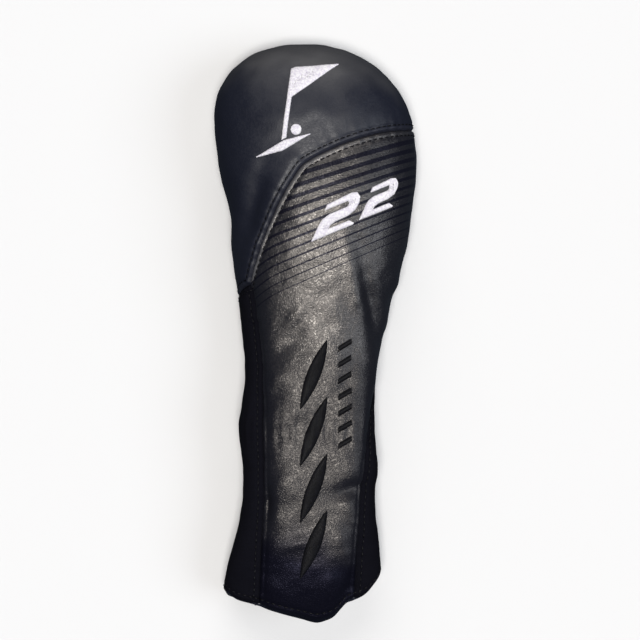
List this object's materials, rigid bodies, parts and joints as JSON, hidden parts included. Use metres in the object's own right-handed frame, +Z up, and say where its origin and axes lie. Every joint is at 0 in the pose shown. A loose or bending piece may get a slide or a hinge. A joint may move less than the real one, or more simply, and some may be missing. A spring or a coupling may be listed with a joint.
{
  "type": "golf club head cover",
  "caption": "Long padded head cover for a hybrid golf club: a domed leather crown, a tapering sleeve of sewn panels and a soft lined mouth, lying on its back.",
  "frame": {"origin": "on the surface that the cover lies on, under the middle of its length and width", "axes": "+Z up out of the front, +Y towards the crown, so the mouth opens towards -Y, +X to the right seen from the front"},
  "size_m": [0.1194, 0.34, 0.0628],
  "materials": {
    "crown_leather": "smooth satin synthetic leather",
    "front_leather": "fine pebbled synthetic leather with printed stripes",
    "side_knit": "dense matt knit",
    "foam": "open-cell padding laminated to knit",
    "fleece": "brushed fleece",
    "elastic": "ribbed woven elastic",
    "binding": "folded synthetic leather",
    "backing": "non-woven stabiliser",
    "white_thread": "satin-stitched thread",
    "black_thread": "glossy twisted thread"
  },
  "bodies": {
    "root": {"crown_panel": "crown_leather", "front_panel": "front_leather", "back_panel": "side_knit", "left_side_panel": "side_knit", "right_side_panel": "side_knit", "crown_foam": "foam", "front_foam": "foam", "back_foam": "foam", "left_side_foam": "foam", "right_side_foam": "foam", "head_lining": "fleece", "sleeve_lining_front": "fleece", "sleeve_lining_back": "fleece", "neck_elastic": "elastic", "hem_facing": "binding", "hem_binding": "binding", "seam_tape": "backing", "number_backing": "backing", "emblem_backing": "backing", "blade_backing": "backing", "number_embroidery": "white_thread", "emblem_embroidery": "white_thread", "blade_embroidery": "black_thread", "dash_embroidery": "black_thread", "seam_stitches_crown": "black_thread", "seam_stitches_front": "black_thread", "side_stitches_left": "black_thread", "side_stitches_right": "black_thread", "hem_stitches": "black_thread"}
  },
  "joints": []
}
